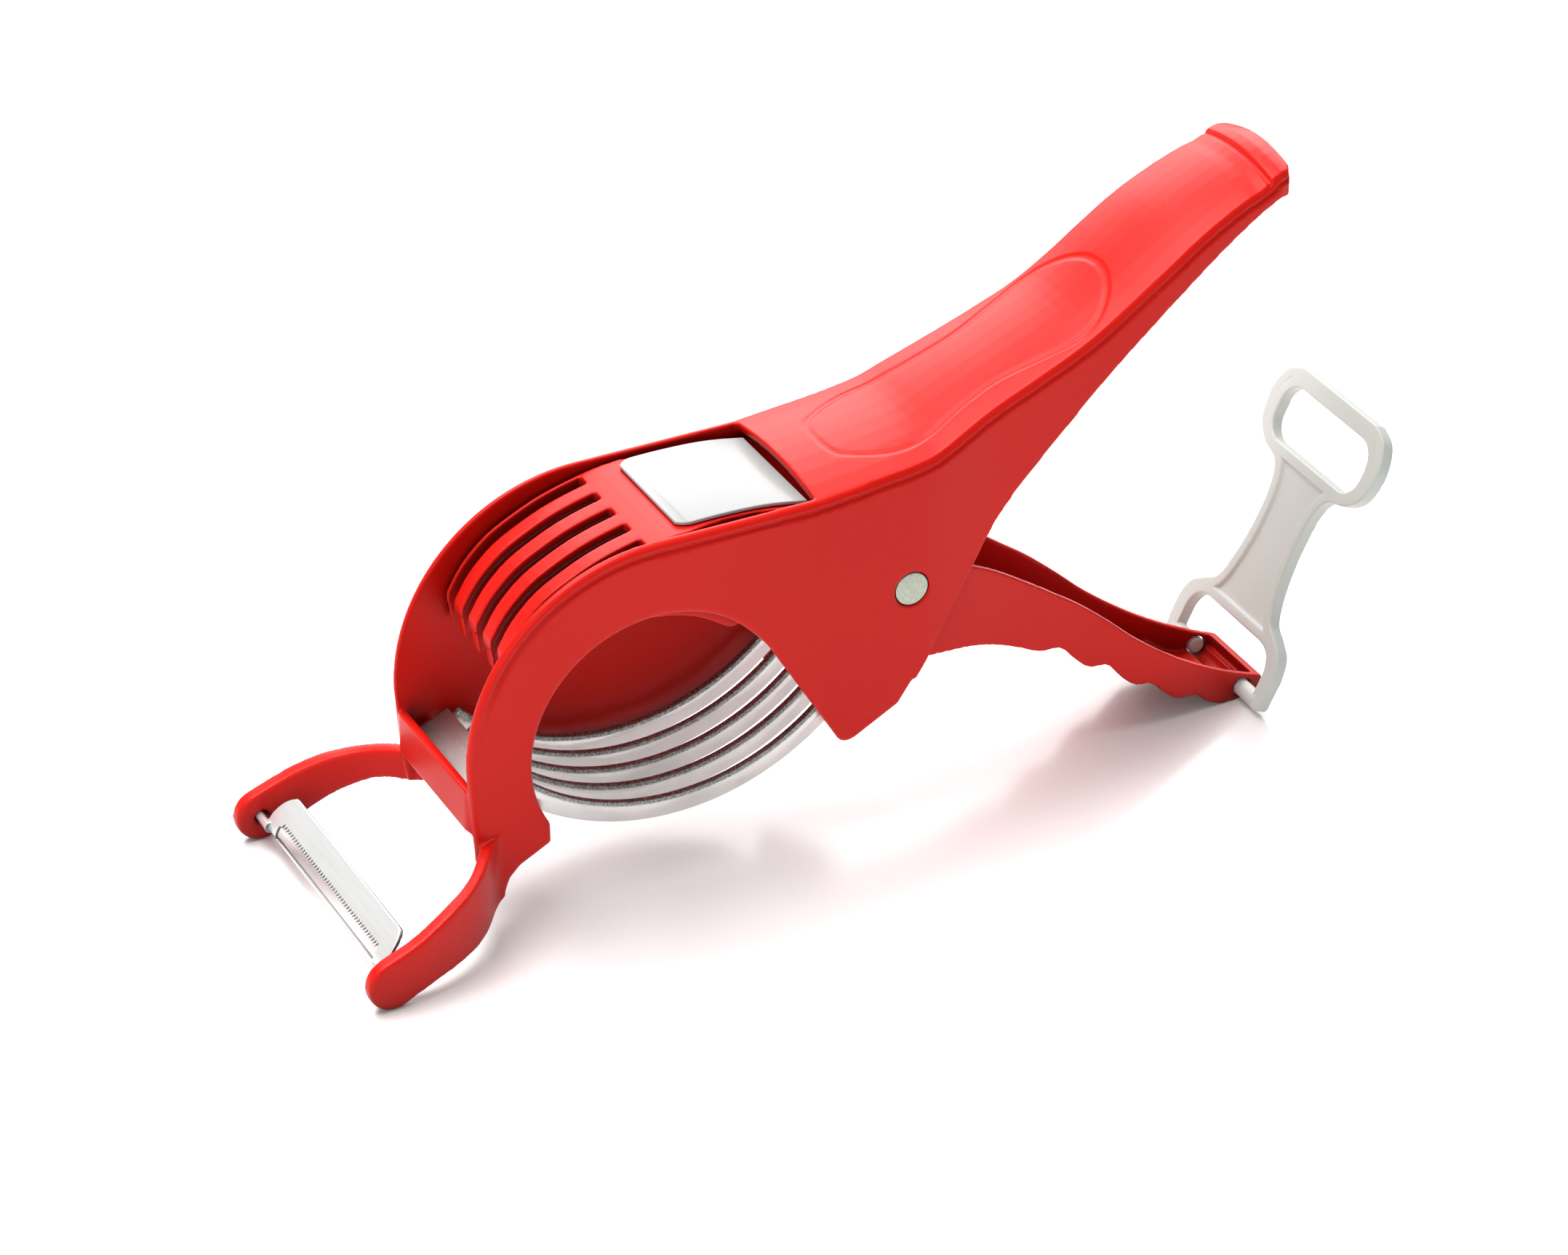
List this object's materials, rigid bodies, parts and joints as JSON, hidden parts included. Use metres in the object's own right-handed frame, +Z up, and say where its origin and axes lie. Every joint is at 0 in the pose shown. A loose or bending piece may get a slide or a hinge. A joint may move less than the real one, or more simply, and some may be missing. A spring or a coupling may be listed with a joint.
{
  "type": "vegetable cutter",
  "caption": "Hand-held vegetable cutter: a hinged lever swings a slotted presser down onto curved blades, with a swivel peeler in its nose and a swing-over clip that locks the handles shut.",
  "frame": {"origin": "on the table, under the middle of the tool's length and width", "axes": "+Z up, +X from the peeler towards the handle end, Y across the tool"},
  "size_m": [0.2453, 0.0726, 0.1285],
  "materials": {
    "red_plastic": "glossy moulded",
    "white_plastic": "glossy moulded",
    "clip_plastic": "satin moulded",
    "blade_steel": "ground",
    "pin_steel": "smooth",
    "spring_steel": "drawn wire"
  },
  "bodies": {
    "body": {"main_body": "red_plastic", "pivot_pin": "pin_steel", "pivot_washer": "pin_steel", "return_spring": "spring_steel", "blade_1": "blade_steel", "blade_2": "blade_steel", "blade_3": "blade_steel", "blade_4": "blade_steel", "blade_5": "blade_steel", "blade_spacer_1": "blade_steel", "blade_spacer_2": "blade_steel", "blade_spacer_3": "blade_steel", "blade_spacer_4": "blade_steel", "blade_rod": "blade_steel", "blade_nose_strip": "blade_steel"},
    "lever": {"presser_lever": "red_plastic", "cover_plate": "white_plastic"},
    "clip": {"lock_clip": "clip_plastic"},
    "peeler": {"peeler_blade": "blade_steel"}
  },
  "joints": [
    {"name": "lever_hinge", "type": "hinge", "parent": "body", "child": "lever", "pos_m": [0.0064, 0, 0.0548], "axis": [0, -1, 0], "range_deg": [0, 32], "stiffness_Nm_per_rad": 0.4, "springref_deg": -28.65, "deforming": ["return_spring"]},
    {"name": "clip_swing", "type": "hinge", "parent": "lever", "child": "clip", "pos_m": [0.0921, 0, 0.0027], "axis": [0, 1, 0], "range_deg": [0, 60]},
    {"name": "peeler_swivel", "type": "hinge", "parent": "body", "child": "peeler", "pos_m": [-0.1173, 0, 0.0055], "axis": [0, 1, 0], "range_deg": [-20, 20]}
  ]
}
